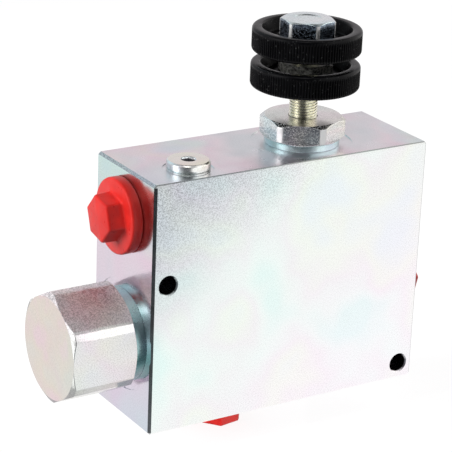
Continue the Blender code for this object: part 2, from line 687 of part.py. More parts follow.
def make_passage_plug(steel, rubber):
    """Socket plug with a round collar and a ring on its shank, closing the drilled passage."""
    seat = FIT_GAP - SPOT_FACE_DEPTH
    high = seat + PLUG_COLLAR_HEIGHT
    collar = PLUG_COLLAR_DIAMETER / 2
    thread = PLUG_THREAD_DIAMETER / 2
    ring_floor = thread - PLUG_RING_SECTION - GROOVE_PLAY
    outline = [(0, -PLUG_THREAD_LENGTH), (thread, -PLUG_THREAD_LENGTH)]
    outline += reversed(groove_notch(thread, ring_floor, -PLUG_RING_DEPTH, PLUG_RING_SECTION))
    outline += [(thread, seat), (collar, seat)]
    outline += [(collar, high - PLUG_CHAMFER), (collar - PLUG_CHAMFER, high), (0, high)]
    plug = add_object("passage_plug", turned(outline, ROUND_STEPS), DRILLING_STATION, steel)
    socket = prism(hexagon(PLUG_SOCKET_ACROSS_FLATS, 0), high - PLUG_SOCKET_DEPTH, high + OVERCUT)
    shape(plug, "DIFFERENCE", tool("plug_socket", socket, DRILLING_STATION))
    middle = -PLUG_RING_DEPTH - GROOVE_PLAY - PLUG_RING_SECTION / 2
    inner = ring_floor + GROOVE_PLAY
    o_ring("passage_plug_o_ring", inner, PLUG_RING_SECTION, middle, DRILLING_STATION, rubber)


def make_stopper(name, place, flange_top, turn, plastic):
    """Plastic transport plug: hollow spigot, round flange and hexagon head."""
    flange = STOPPER_FLANGE_DIAMETER / 2
    edge = STOPPER_EDGE_RADIUS
    spigot = PORT_DIAMETER / 2 - FIT_GAP
    outline = [(0, -STOPPER_SPIGOT_LENGTH), (spigot, -STOPPER_SPIGOT_LENGTH), (spigot, FIT_GAP)]
    outline += rounded_corner(flange - edge, FIT_GAP + edge, edge, -math.pi / 2)
    outline += rounded_corner(flange - edge, flange_top - edge, edge, 0)
    outline += [(0, flange_top)]
    stopper = add_object(name, turned(outline, ROUND_STEPS), place, plastic)
    head = prism(hexagon(STOPPER_ACROSS_FLATS, turn), flange_top - OVERCUT, STOPPER_TOP)
    shape(stopper, "UNION", tool(name + "_head", head, place))
    hollow = spigot - STOPPER_WALL
    mouth = -STOPPER_SPIGOT_LENGTH - OVERCUT
    floor = STOPPER_TOP - STOPPER_WALL
    bore = [(0, mouth), (hollow, mouth), (hollow, floor), (0, floor)]
    shape(stopper, "DIFFERENCE", tool(name + "_hollow", turned(bore, RING_STEPS), place))


def main():
    clear_scene()
    plated = finish_material("zinc_plated_steel", (0.62, 0.6, 0.6), 0.3, 1)
    bright = finish_material("bright_turned_steel", (0.6, 0.6, 0.58), 0.22, 1)
    spring_steel = finish_material("spring_steel", (0.35, 0.35, 0.37), 0.35, 1)
    rubber = finish_material("black_rubber", (0.02, 0.02, 0.02), 0.6, 0)
    black = finish_material("black_plastic", (0.012, 0.012, 0.013), 0.4, 0)
    red = finish_material("red_plastic", (0.72, 0.03, 0.02), 0.4, 0)
    make_valve_body(plated)
    make_gland_nut(bright, rubber)
    make_spindle(bright, spring_steel)
    make_knobs(black, bright)
    make_metering_spool(bright, spring_steel)
    make_compensator_cap(plated, rubber)
    make_compensator_spool(bright, spring_steel)
    make_passage_plug(plated, rubber)
    make_stopper("inlet_plug", INLET_STATION, STOPPER_FLANGE_HEIGHT, INLET_STOPPER_TURN, red)
    make_stopper("outlet_plug", OUTLET_STATION, STOPPER_FLANGE_HEIGHT, OUTLET_STOPPER_TURN, red)
    make_stopper("tank_plug", TANK_STATION, TANK_FLANGE_HEIGHT, TANK_STOPPER_TURN, red)


main()
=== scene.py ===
"""Looks of a three-port flow control valve: plated block, turned fittings, knobs and plugs.

Units are metres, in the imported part's own frame: the origin is the centre of the block's rear face,
+Z is up and the front looks along -Y. Screwed-in pieces are drawn about their own Z axis, which
points out of the face that they enter, with height 0 on that face.
"""
import math

import bmesh
import bpy
from mathutils import Matrix, Vector


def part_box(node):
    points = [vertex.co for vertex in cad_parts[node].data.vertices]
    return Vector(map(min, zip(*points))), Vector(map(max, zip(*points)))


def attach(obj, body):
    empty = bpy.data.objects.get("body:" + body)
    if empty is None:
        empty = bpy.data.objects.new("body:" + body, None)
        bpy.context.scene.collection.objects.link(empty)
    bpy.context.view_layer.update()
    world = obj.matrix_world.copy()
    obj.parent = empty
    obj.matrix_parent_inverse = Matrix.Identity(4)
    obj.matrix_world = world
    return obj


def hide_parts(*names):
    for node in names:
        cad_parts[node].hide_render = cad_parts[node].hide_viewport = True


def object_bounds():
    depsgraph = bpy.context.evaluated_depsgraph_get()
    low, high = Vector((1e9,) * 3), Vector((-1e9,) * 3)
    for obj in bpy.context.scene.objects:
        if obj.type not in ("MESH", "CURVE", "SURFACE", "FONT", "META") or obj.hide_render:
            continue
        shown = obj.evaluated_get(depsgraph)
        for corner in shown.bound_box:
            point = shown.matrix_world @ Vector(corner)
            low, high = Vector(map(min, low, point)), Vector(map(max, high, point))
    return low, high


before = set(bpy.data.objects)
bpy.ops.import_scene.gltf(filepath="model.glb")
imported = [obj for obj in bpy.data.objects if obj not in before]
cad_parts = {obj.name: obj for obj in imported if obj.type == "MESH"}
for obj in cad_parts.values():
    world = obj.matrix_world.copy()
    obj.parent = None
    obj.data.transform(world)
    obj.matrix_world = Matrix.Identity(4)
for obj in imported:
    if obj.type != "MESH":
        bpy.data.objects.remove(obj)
cad_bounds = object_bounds()

MM = 0.001
TURN = 2 * math.pi

# Gland nut
GLAND_ACROSS_FLATS = 27 * MM
GLAND_BAR = 15 * MM
GLAND_FACE = 13.35 * MM
GLAND_COLLAR = 13.2 * MM
GLAND_COLLAR_TOP = 2 * MM
GLAND_THREAD = 11 * MM
GLAND_BORE = 5.15 * MM
GLAND_BORE_BOTTOM = -3 * MM
GLAND_LOWER_BORE = 4.3 * MM
GLAND_RING_FLOOR = 8.7 * MM
GLAND_BORE_RING_FLOOR = 6.4 * MM
GLAND_TURN = math.radians(25)

# Adjusting spindle
THREAD_RADIUS = 5 * MM
THREAD_PITCH = 1 * MM
THREAD_DEPTH = 0.55 * MM
THREAD_ROOT_SHARE = 0.12
THREAD_FLANK_SHARE = 0.76
THREAD_RUN_OUT = 0.3 * MM
THREAD_ROWS_PER_PITCH = 12
THREAD_BOTTOM = 5 * MM
STEM_RADIUS = 4 * MM
STEM_TOP = -1.2 * MM
STOP_RING_SEAT = 3 * MM
STOP_RING_PLAY = 0.3 * MM
HEAD_ACROSS_FLATS = 17 * MM
HEAD_BAR = 9.6 * MM
HEAD_FACE = 8.3 * MM
HEAD_HEIGHT = 6.4 * MM
HEAD_TURN = math.radians(18.5)
HEAD_DIMPLE = 4.7 * MM
HEAD_DIMPLE_DEPTH = 0.35 * MM

# Knobs
KNOB_RIBS = 120
KNOB_RIB_SAMPLES = 6
KNOB_RIB_DEPTH = 0.4 * MM
KNOB_EDGE = 1.1 * MM
KNOB_LOWER_EDGE_STEPS = 4
KNOB_UPPER_EDGE_STEPS = 5
KNOB_DISH = 15.6 * MM
KNOB_DISH_DEPTH = 4.3 * MM
KNOB_HUB = 11 * MM
KNOB_HUB_DROP = 3.6 * MM
KNOB_BORE = 8.3 * MM
KNOB_LIP = 5.3 * MM
KNOB_COVER = 1.2 * MM

# Compensator cap
CAP_ACROSS_FLATS = 36 * MM
CAP_BAR = 19.75 * MM
CAP_FACE = 17.95 * MM
CAP_NECK = 16.5 * MM
CAP_NECK_LENGTH = 4 * MM
CAP_THREAD = 15 * MM
CAP_RING_FLOOR = 12.6 * MM
CAP_HOLLOW = 5 * MM
CAP_HOLLOW_DEPTH = 32 * MM

# Plug of the drilled passage
PLUG_COLLAR = 7.5 * MM
PLUG_CHAMFER = 0.6 * MM
PLUG_THREAD = 5 * MM
PLUG_RING_FLOOR = 3.2 * MM
PLUG_SOCKET_ACROSS_FLATS = 4.2 * MM
PLUG_SOCKET_MOUTH = 2.7 * MM
PLUG_SOCKET_FLARE = 0.6 * MM
PLUG_SOCKET_DEPTH = 3.4 * MM

# Port plugs
STOPPER_FLANGE = 13.2 * MM
STOPPER_FLANGE_TOPS = {"inlet_plug": 4.2 * MM, "outlet_plug": 4.2 * MM, "tank_plug": 2.9 * MM}
STOPPER_SEAT = 0.02 * MM
STOPPER_ACROSS_FLATS = 14.8 * MM
STOPPER_CORNER_POWER = 46
STOPPER_DRAFT = 0.25 * MM
STOPPER_ROUND = 0.8 * MM
STOPPER_SPIGOT = 7.3 * MM
STOPPER_SPIGOT_LENGTH = 10 * MM
STOPPER_WALL = 2.4 * MM
STOPPER_TURNS = {"inlet_plug": 19, "outlet_plug": 15, "tank_plug": 51.4}

# Screw holes through the block, measured from its left or right edge and its bottom edge
SCREW_HOLE = 3.25 * MM
SCREW_HOLE_EDGE = 6 * MM
SCREW_HOLE_LEFT_HEIGHT = 54 * MM
SCREW_HOLE_RIGHT_HEIGHT = 6 * MM
# Painted shade inside the screw holes, partly the bores' own darker steel: its share of the colour, and how
# far past the radius it fades out
SCREW_HOLE_PAINTED_SHADE = 0.3
SCREW_HOLE_FADE = (0.05 * MM, 0.2 * MM)

# Painted dark reflection line on the top front and rear chamfers: heights that it starts and ends at, and
# share of the colour
EDGE_REFLECTION_LINE = (44.6 * MM, 44.75 * MM)
EDGE_REFLECTION_SHADE = 0.4

# Play of the O-rings in their grooves, and how far collars reach into the spot faces
GROOVE_PLAY = 0.3 * MM
SEAT_DEPTH = 0.28 * MM

# Rounding of edges, the slope of hexagons' end chamfers and the steps that draw curves
EDGE_ROUND = 0.15 * MM
SOFT_ROUND = 0.5 * MM
CHAMFER_SLOPE = math.tan(math.radians(30))
ROUND_STEPS = 128
FLAT_STEPS = 10
LAND_STEPS = 5
FLAT_EDGE_BAND = math.radians(1)
SHARP_ANGLE = math.radians(60)
FACE_BAND = 0.03 * MM
ALL_HEIGHTS = -1

# Camera, from the photograph's perspective
CAMERA_AT = (-0.3681, -0.5777, 0.2665)
CAMERA_AIM = (0.0076, 0.0152, 0.0022)
CAMERA_ROLL = math.radians(2.35)
CAMERA_LENS_MM = 162.26

# Studio
FLOOR_SIZE = 3
FLOOR_GLOW = 0.9
FLOOR_BOUNCE = 0.14
DIFFUSE_LEVEL = 0.06
LAMP_SIZE = 0.6
KEY_AT = (-0.95, 0.18, 0.42)
KEY_WATTS = 12
SIDE_FILL_AT = (0.9, -0.1, 0.4)
SIDE_FILL_WATTS = 6
LOW_FILL_AT = (-0.35, -0.6, -0.01)
LOW_FILL_WATTS = 16
LOW_FILL_CONE = math.radians(6)
HIGH_FILL_AT = (-0.35, -0.5, 0.8)
HIGH_FILL_WATTS = 7
HIGH_FILL_CONE = math.radians(2.6)


# Places

block_low, block_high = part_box("valve_body")


def middle(node):
    low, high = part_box(node)
    return (low + high) / 2


def station(node, direction):
    """Frame on the block's face where a piece stands, its +Z pointing out of the block."""
    point = middle(node)
    axis = Vector(direction)
    for index in range(3):
        if axis[index] > 0:
            point[index] = block_high[index]
        if axis[index] < 0:
            point[index] = block_low[index]
    turns = {
        (0, 0, 1): Matrix.Identity(4),
        (0, 0, -1): Matrix.Rotation(math.pi, 4, "X"),
        (1, 0, 0): Matrix.Rotation(math.pi / 2, 4, "Y"),
        (-1, 0, 0): Matrix.Rotation(-math.pi / 2, 4, "Y"),
    }
    return Matrix.Translation(point) @ turns[direction]


def heights(node, place):
    """Lowest and highest point of a node, measured along its station's axis."""
    inverse = place.inverted()
    ends = [(inverse @ corner).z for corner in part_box(node)]
    return min(ends), max(ends)


ON_TOP = station("adjusting_spindle", (0, 0, 1))
ON_CAP = station("compensator_cap", (-1, 0, 0))
ON_DRILLING = station("passage_plug", (0, 0, 1))
PORTS = {
    "inlet_plug": station("inlet_plug", (-1, 0, 0)),
    "outlet_plug": station("outlet_plug", (1, 0, 0)),
    "tank_plug": station("tank_plug", (0, 0, -1)),
}


# Turned shapes

def even_angles(count):
    return [TURN * step / count for step in range(count)]


def hex_angles(across_flats, bar, turn):
    """Angles that draw a hexagon bar: close together beside each flat's two edges."""
    half = math.acos(min(1, across_flats / 2 / bar))
    inner = half - FLAT_EDGE_BAND
    angles = []
    for side in range(6):
        centre = turn + math.pi / 6 + side * math.pi / 3
        angles.append(centre - half)
        angles += [centre - inner + 2 * inner * step / FLAT_STEPS for step in range(FLAT_STEPS + 1)]
        land = math.pi / 3 - 2 * half
        angles += [centre + half + land * step / LAND_STEPS for step in range(LAND_STEPS)]
    return angles


def hex_side(angle, across_flats, turn, bar):
    """Distance from the axis to the side of a hexagon bar with its corners turned off."""
    from_flat = (angle - turn) % (math.pi / 3) - math.pi / 6
    return min(across_flats / 2 / math.cos(from_flat), bar)


def soft_hex_side(angle, across_flats, turn, power):
    """Distance from the axis to the side of a moulded hexagon with rounded corners."""
    total = 0
    for side in range(6):
        nearness = math.cos(angle - turn - math.pi / 6 - side * math.pi / 3)
        total += max(0, nearness) ** power
    return across_flats / 2 / total ** (1 / power)


def eased(points, size):
    """Outline with each corner between two edges rounded off by three points."""
    made = [points[0]]
    for before, corner, after in zip(points, points[1:], points[2:]):
        corner = Vector(corner)
        arms = []
        for other in (Vector(before), Vector(after)):
            arm = other - corner
            arms.append(corner + arm * min(0.4, size / max(arm.length, 1e-9)))
        made += [tuple(arms[0]), tuple((arms[0] + arms[1] + 2 * corner) / 4), tuple(arms[1])]
    made.append(points[-1])
    return made


def lathe(name, angles, outline_at, place, zones, socket=0):
    """Piece turned about its Z axis, whose outline of (radius, height) may change with the angle.

    An outline that starts or ends on the axis closes there. One that doesn't closes on itself.
    Zones are (lowest height, material) from the top down. Within a socket's radius the last one holds.
    """
    bm = bmesh.new()
    columns = [outline_at(angle) for angle in angles]
    rows = []
    for index in range(len(columns[0])):
        if columns[0][index][0] == 0:
            rows.append([bm.verts.new((0, 0, columns[0][index][1]))])
            continue
        row = []
        for angle, column in zip(angles, columns):
            radius, height = column[index]
            row.append(bm.verts.new((radius * math.cos(angle), radius * math.sin(angle), height)))
        rows.append(row)
    pairs = list(zip(rows, rows[1:]))
    if len(rows[0]) > 1:
        pairs.append((rows[-1], rows[0]))
    for first, second in pairs:
        for step in range(len(angles)):
            after = step + 1
            corners = [first[step % len(first)], first[after % len(first)]]
            corners += [second[after % len(second)], second[step % len(second)]]
            distinct = list(dict.fromkeys(corners))
            if len(distinct) > 2:
                bm.faces.new(distinct)
    bmesh.ops.recalc_face_normals(bm, faces=bm.faces)
    for face in bm.faces:
        centre = face.calc_center_median()
        if centre.xy.length < socket:
            face.material_index = len(zones) - 1
        else:
            face.material_index = [centre.z >= lowest for lowest, material in zones].index(True)
    mesh = bpy.data.meshes.new(name)
    bm.to_mesh(mesh)
    bm.free()
    mesh.shade_smooth()
    mesh.set_sharp_from_angle(angle=SHARP_ANGLE)
    for lowest, material in zones:
        mesh.materials.append(material)
    piece = bpy.data.objects.new(name, mesh)
    piece.matrix_world = place
    bpy.context.scene.collection.objects.link(piece)
    return piece


def stand_for(piece, node, body):
    """Let a piece take a part's place and ride on its body."""
    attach(piece, body)
    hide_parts(node)


def groove(ring, place, wall, floor):
    """Outline of an O-ring's groove, from its upper edge down."""
    low, high = heights(ring, place)
    low -= GROOVE_PLAY
    high += GROOVE_PLAY
    return [(wall, high), (floor, high), (floor, low), (wall, low)]


# Pieces

def make_gland_nut(turned, drawn, collar):
    bottom, top = heights("gland_nut", ON_TOP)

    def outline_at(angle):
        side = hex_side(angle, GLAND_ACROSS_FLATS, GLAND_TURN, GLAND_BAR)
        fall = (side - GLAND_FACE) * CHAMFER_SLOPE
        outer = [(GLAND_BORE, top), (GLAND_FACE, top), (side, top - fall)]
        outer += [(side, GLAND_COLLAR_TOP + fall), (GLAND_FACE, GLAND_COLLAR_TOP)]
        outer += [(GLAND_COLLAR, GLAND_COLLAR_TOP), (GLAND_COLLAR, -SEAT_DEPTH), (GLAND_THREAD, -SEAT_DEPTH)]
        outer += groove("gland_o_ring", ON_TOP, GLAND_THREAD, GLAND_RING_FLOOR)
        outer += [(GLAND_THREAD, bottom), (GLAND_LOWER_BORE, bottom)]
        inner = groove("spindle_o_ring", ON_TOP, GLAND_LOWER_BORE, GLAND_BORE_RING_FLOOR)[::-1]
        inner += [(GLAND_LOWER_BORE, GLAND_BORE_BOTTOM), (GLAND_BORE, GLAND_BORE_BOTTOM)]
        return eased(outer + inner, EDGE_ROUND)

    angles = hex_angles(GLAND_ACROSS_FLATS, GLAND_BAR, GLAND_TURN)
    zones = [(top - FACE_BAND, turned), (GLAND_COLLAR_TOP, drawn), (ALL_HEIGHTS, collar)]
    piece = lathe("gland_nut_turned", angles, outline_at, ON_TOP, zones)
    stand_for(piece, "gland_nut", "valve_block")


def thread_radius(angle, height, fade):
    """Radius of a right-hand V thread at an angle and a height."""
    phase = (height / THREAD_PITCH - angle / TURN) % 1
    flank = min(1, max(0, (abs(phase - 0.5) * 2 - THREAD_ROOT_SHARE) / THREAD_FLANK_SHARE))
    return THREAD_RADIUS - THREAD_DEPTH * (1 - flank) * fade


def make_spindle(drawn, turned, threaded):
    bottom, top = heights("adjusting_spindle", ON_TOP)
    ring_bottom, ring_top = heights("spindle_stop_ring", ON_TOP)
    head_bottom = top - HEAD_HEIGHT
    row_gap = THREAD_PITCH / THREAD_ROWS_PER_PITCH
    rows = int((head_bottom - THREAD_BOTTOM) / row_gap)

    def outline_at(angle):
        side = hex_side(angle, HEAD_ACROSS_FLATS, HEAD_TURN, HEAD_BAR)
        head = [(0, top - HEAD_DIMPLE_DEPTH), (HEAD_DIMPLE, top - HEAD_DIMPLE_DEPTH)]
        head += [(HEAD_DIMPLE + HEAD_DIMPLE_DEPTH, top), (HEAD_FACE, top)]
        head += [(side, top - (side - HEAD_FACE) * CHAMFER_SLOPE), (side, head_bottom)]
        head += [(THREAD_RADIUS, head_bottom)]
        thread = []
        for row in range(1, rows):
            height = head_bottom - row * row_gap
            fade = min(1, (height - THREAD_BOTTOM) / THREAD_RUN_OUT)
            thread.append((thread_radius(angle, height, fade), height))
        shank = [(THREAD_RADIUS, STEM_TOP + THREAD_RADIUS - STEM_RADIUS), (STEM_RADIUS, STEM_TOP)]
        shank += [(STEM_RADIUS, ring_top + STOP_RING_PLAY), (STOP_RING_SEAT, ring_top + STOP_RING_PLAY)]
        shank += [(STOP_RING_SEAT, ring_bottom - STOP_RING_PLAY)]
        shank += [(STEM_RADIUS, ring_bottom - STOP_RING_PLAY), (STEM_RADIUS, bottom), (0, bottom)]
        return eased(head, EDGE_ROUND) + thread + shank

    angles = hex_angles(HEAD_ACROSS_FLATS, HEAD_BAR, HEAD_TURN)
    zones = [(top - HEAD_DIMPLE_DEPTH - FACE_BAND, turned), (head_bottom, drawn), (ALL_HEIGHTS, threaded)]
    piece = lathe("adjusting_spindle_threaded", angles, outline_at, ON_TOP, zones)
    stand_for(piece, "adjusting_spindle", "spindle")


def make_knob(node, body, rims, ribbed):
    """Knob with fine ribs round its side, a rounded rim, a dished top and a hub."""
    bottom, top = heights(node, ON_TOP)
    low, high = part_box(node)
    rim = (high.x - low.x) / 2
    floor = top - KNOB_DISH_DEPTH
    hub_top = top - KNOB_HUB_DROP
    cover = hub_top - KNOB_COVER
    rib_top = top - KNOB_EDGE

    def outline_at(angle):
        notch = KNOB_RIB_DEPTH * (0.5 - 0.5 * math.cos(angle * KNOB_RIBS)) ** 1.5
        side = rim - notch
        points = [(KNOB_LIP, cover), (KNOB_BORE, cover), (KNOB_BORE, bottom), (rim - KNOB_EDGE, bottom)]
        for step in range(1, KNOB_LOWER_EDGE_STEPS + 1):
            share = step / KNOB_LOWER_EDGE_STEPS
            turn = math.pi / 2 * share
            reach = rim - KNOB_EDGE + KNOB_EDGE * math.sin(turn) - notch * share
            points.append((reach, bottom + KNOB_EDGE * (1 - math.cos(turn))))
        points += [(side, rib_top - KNOB_EDGE), (side + notch * 0.4, rib_top - KNOB_EDGE * 0.4)]
        for step in range(KNOB_UPPER_EDGE_STEPS + 1):
            turn = math.pi / 2 * step / KNOB_UPPER_EDGE_STEPS
            reach = rim - KNOB_EDGE + KNOB_EDGE * math.cos(turn)
            points.append((reach, rib_top + KNOB_EDGE * math.sin(turn)))
        bowl = [(rim - KNOB_EDGE, top), (KNOB_DISH, top), (KNOB_DISH - KNOB_EDGE, floor)]
        bowl += [(KNOB_HUB + KNOB_EDGE, floor), (KNOB_HUB, hub_top), (KNOB_LIP, hub_top)]
        return points + eased(bowl, SOFT_ROUND)[1:]

    angles = even_angles(KNOB_RIBS * KNOB_RIB_SAMPLES)
    zones = [(rib_top, rims), (bottom + KNOB_EDGE, ribbed), (ALL_HEIGHTS, rims)]
    piece = lathe(node + "_ribbed", angles, outline_at, ON_TOP, zones)
    stand_for(piece, node, body)


def make_cap(turned, drawn, neck):
    bottom, top = heights("compensator_cap", ON_CAP)

    def outline_at(angle):
        side = hex_side(angle, CAP_ACROSS_FLATS, 0, CAP_BAR)
        fall = (side - CAP_FACE) * CHAMFER_SLOPE
        points = [(0, top), (CAP_FACE, top), (side, top - fall), (side, CAP_NECK_LENGTH + fall)]
        points += [(CAP_FACE, CAP_NECK_LENGTH), (CAP_NECK, CAP_NECK_LENGTH), (CAP_NECK, -SEAT_DEPTH)]
        points += [(CAP_THREAD, -SEAT_DEPTH)] + groove("cap_o_ring", ON_CAP, CAP_THREAD, CAP_RING_FLOOR)
        points += [(CAP_THREAD, bottom), (CAP_HOLLOW, bottom)]
        points += [(CAP_HOLLOW, bottom + CAP_HOLLOW_DEPTH), (0, bottom + CAP_HOLLOW_DEPTH)]
        return eased(points, EDGE_ROUND)

    angles = hex_angles(CAP_ACROSS_FLATS, CAP_BAR, 0)
    zones = [(top - FACE_BAND, turned), (CAP_NECK_LENGTH, drawn), (ALL_HEIGHTS, neck)]
    piece = lathe("compensator_cap_turned", angles, outline_at, ON_CAP, zones)
    stand_for(piece, "compensator_cap", "valve_block")


def make_passage_plug(turned, collar, hollow):
    bottom, top = heights("passage_plug", ON_DRILLING)

    def outline_at(angle):
        socket = hex_side(angle, PLUG_SOCKET_ACROSS_FLATS, 0, PLUG_SOCKET_ACROSS_FLATS)
        points = [(0, top - PLUG_SOCKET_DEPTH), (socket, top - PLUG_SOCKET_DEPTH)]
        points += [(socket, top - PLUG_SOCKET_FLARE), (PLUG_SOCKET_MOUTH, top)]
        points += [(PLUG_COLLAR - PLUG_CHAMFER, top), (PLUG_COLLAR, top - PLUG_CHAMFER)]
        points += [(PLUG_COLLAR, -SEAT_DEPTH), (PLUG_THREAD, -SEAT_DEPTH)]
        points += groove("passage_plug_o_ring", ON_DRILLING, PLUG_THREAD, PLUG_RING_FLOOR)
        points += [(PLUG_THREAD, bottom), (0, bottom)]
        return eased(points, EDGE_ROUND)

    # The last zone also fills the hex socket, in darker steel there: painted shade in the socket
    zones = [(top - FACE_BAND, turned), (-PLUG_SOCKET_FLARE, collar), (ALL_HEIGHTS, hollow)]
    angles = even_angles(ROUND_STEPS)
    socket_reach = PLUG_SOCKET_MOUTH - PLUG_SOCKET_FLARE / 2
    piece = lathe("passage_plug_turned", angles, outline_at, ON_DRILLING, zones, socket_reach)
    stand_for(piece, "passage_plug", "valve_block")


def make_stopper(node, material):
    """Moulded port plug: rounded flange, hexagon head with soft corners, hollow spigot."""
    place = PORTS[node]
    top = heights(node, place)[1]
    flange_top = STOPPER_FLANGE_TOPS[node]
    turn = math.radians(STOPPER_TURNS[node])
    hollow = STOPPER_SPIGOT - STOPPER_WALL

    def outline_at(angle):
        side = soft_hex_side(angle, STOPPER_ACROSS_FLATS, turn, STOPPER_CORNER_POWER)
        points = [(0, top), (side - STOPPER_DRAFT, top), (side, flange_top)]
        points += [(STOPPER_FLANGE, flange_top), (STOPPER_FLANGE, STOPPER_SEAT)]
        points += [(STOPPER_SPIGOT, STOPPER_SEAT), (STOPPER_SPIGOT, -STOPPER_SPIGOT_LENGTH)]
        points += [(hollow, -STOPPER_SPIGOT_LENGTH), (hollow, top - STOPPER_WALL), (0, top - STOPPER_WALL)]
        return eased(points, STOPPER_ROUND)

    zones = [(ALL_HEIGHTS, material)]
    piece = lathe(node + "_moulded", even_angles(ROUND_STEPS), outline_at, place, zones)
    stand_for(piece, node, "valve_block")


# Materials

def start_look(name):
    material = bpy.data.materials.new(name)
    material.use_nodes = True
    tree = material.node_tree
    coords = tree.nodes.new("ShaderNodeTexCoord").outputs["Object"]
    return material, tree, tree.nodes["Principled BSDF"], coords


def noise(tree, coords, size, detail):
    """Soft noise whose blotches are about one size across, in metres."""
    node = tree.nodes.new("ShaderNodeTexNoise")
    node.inputs["Scale"].default_value = 1 / size
    node.inputs["Detail"].default_value = detail
    tree.links.new(coords, node.inputs["Vector"])
    return node.outputs["Fac"]


def cells(tree, coords, size):
    """Value that jumps from grain to grain, with grains about one size across, in metres."""
    node = tree.nodes.new("ShaderNodeTexVoronoi")
    node.inputs["Scale"].default_value = 1 / size
    tree.links.new(coords, node.inputs["Vector"])
    return node.outputs["Color"]


def ramp(tree, value, stops):
    """Colours along a value, from (position, colour) stops."""
    node = tree.nodes.new("ShaderNodeValToRGB")
    elements = node.color_ramp.elements
    while len(elements) < len(stops):
        elements.new(0.5)
    for element, (position, color) in zip(elements, stops):
        element.position = position
        element.color = (*color, 1)
    tree.links.new(value, node.inputs["Fac"])
    return node.outputs["Color"]


def feed(tree, socket, value):
    """Give a socket a number, or join it to another node's value."""
    if isinstance(value, (int, float)):
        socket.default_value = value
    else:
        tree.links.new(value, socket)


def spread(tree, value, from_low, from_high, to_low, to_high):
    """Value moved from one range to another and held at its ends."""
    node = tree.nodes.new("ShaderNodeMapRange")
    for socket, end in zip(node.inputs[1:5], (from_low, from_high, to_low, to_high)):
        feed(tree, socket, end)
    tree.links.new(value, node.inputs["Value"])
    return node.outputs["Result"]


def blend(tree, mode, factor, first, second):
    """Two colours mixed; the factor is a number or another node's value."""
    node = tree.nodes.new("ShaderNodeMix")
    node.data_type = "RGBA"
    node.blend_type = mode
    feed(tree, node.inputs["Factor"], factor)
    tree.links.new(first, node.inputs["A"])
    tree.links.new(second, node.inputs["B"])
    return node.outputs["Result"]


def bump(tree, shader, height, distance):
    """Relief of a real depth, in metres."""
    node = tree.nodes.new("ShaderNodeBump")
    node.inputs["Distance"].default_value = distance
    tree.links.new(height, node.inputs["Height"])
    tree.links.new(node.outputs["Normal"], shader.inputs["Normal"])


def along(tree, coords, direction, low, high):
    """How far a point lies along a direction, as 0 to 1 between two distances in metres."""
    dot = tree.nodes.new("ShaderNodeVectorMath")
    dot.operation = "DOT_PRODUCT"
    dot.inputs[1].default_value = direction
    tree.links.new(coords, dot.inputs[0])
    return spread(tree, dot.outputs["Value"], low, high, 0, 1)


def outward(tree, coords, low, high):
    """How far a point lies from its piece's axis, as 0 to 1 between two distances in metres."""
    flat = tree.nodes.new("ShaderNodeVectorMath")
    flat.operation = "MULTIPLY"
    flat.inputs[1].default_value = (1, 1, 0)
    tree.links.new(coords, flat.inputs[0])
    length = tree.nodes.new("ShaderNodeVectorMath")
    length.operation = "LENGTH"
    tree.links.new(flat.outputs["Vector"], length.inputs[0])
    return spread(tree, length.outputs["Value"], low, high, 0, 1)


def wander(tree, coords, size, reach):
    """Coordinates pushed about by soft noise, so that tints end in an uneven line."""
    cloud = tree.nodes.new("ShaderNodeTexNoise")
    cloud.inputs["Scale"].default_value = 1 / size
    tree.links.new(coords, cloud.inputs["Vector"])
    push = tree.nodes.new("ShaderNodeVectorMath")
    push.operation = "MULTIPLY_ADD"
    push.inputs[1].default_value = (reach, reach, reach)
    tree.links.new(cloud.outputs["Color"], push.inputs[0])
    tree.links.new(coords, push.inputs[2])
    return push.outputs["Vector"]


def facing(tree, axis, low, high):
    """How squarely a face looks along an axis, either way, as 0 to 1 between two cosines."""
    normal = tree.nodes.new("ShaderNodeTexCoord").outputs["Normal"]
    size = tree.nodes.new("ShaderNodeVectorMath")
    size.operation = "ABSOLUTE"
    tree.links.new(normal, size.inputs[0])
    split = tree.nodes.new("ShaderNodeSeparateXYZ")
    tree.links.new(size.outputs["Vector"], split.inputs["Vector"])
    return spread(tree, split.outputs[axis], low, high, 0, 1)


def painted_hole_shade(tree, coords, centre):
    """Painted shade inside a screw hole that runs along Y, partly the bore's own darker steel; white
    elsewhere.
    """
    flat = tree.nodes.new("ShaderNodeVectorMath")
    flat.operation = "MULTIPLY"
    flat.inputs[1].default_value = (1, 0, 1)
    tree.links.new(coords, flat.inputs[0])
    gap = tree.nodes.new("ShaderNodeVectorMath")
    gap.operation = "DISTANCE"
    gap.inputs[1].default_value = centre
    tree.links.new(flat.outputs["Vector"], gap.inputs[0])
    inner, outer = SCREW_HOLE_FADE
    return spread(tree, gap.outputs["Value"], SCREW_HOLE + inner, SCREW_HOLE + outer, SCREW_HOLE_PAINTED_SHADE, 1)


# Tints of the passivated zinc, as stops along a face or along soft noise
SIDE_TINTS = [
    (0, (0.8, 0.83, 0.95)),
    (0.3, (0.9, 0.79, 0.89)),
    (0.72, (0.93, 0.81, 0.9)),
    (0.86, (0.76, 0.9, 0.91)),
    (1, (0.72, 0.94, 0.93)),
]
SIDE_CORNER_TINTS = [(0.35, (0.74, 0.85, 0.95)), (0.65, (0.72, 0.92, 0.92))]
# The front grows greyer and darker towards its upper left: partly its coarser plating there, partly a
# painted reflection
FRONT_TINTS_AND_REFLECTION = [
    (0, (0.6, 0.64, 0.67)),
    (0.25, (0.82, 0.88, 0.85)),
    (0.5, (0.85, 0.88, 0.86)),
    (0.8, (0.9, 0.88, 0.9)),
    (1, (0.91, 0.91, 0.92)),
]
TOP_TINTS = [(0.35, (0.84, 0.79, 0.83)), (0.5, (0.92, 0.82, 0.87)), (0.65, (0.8, 0.88, 0.9))]
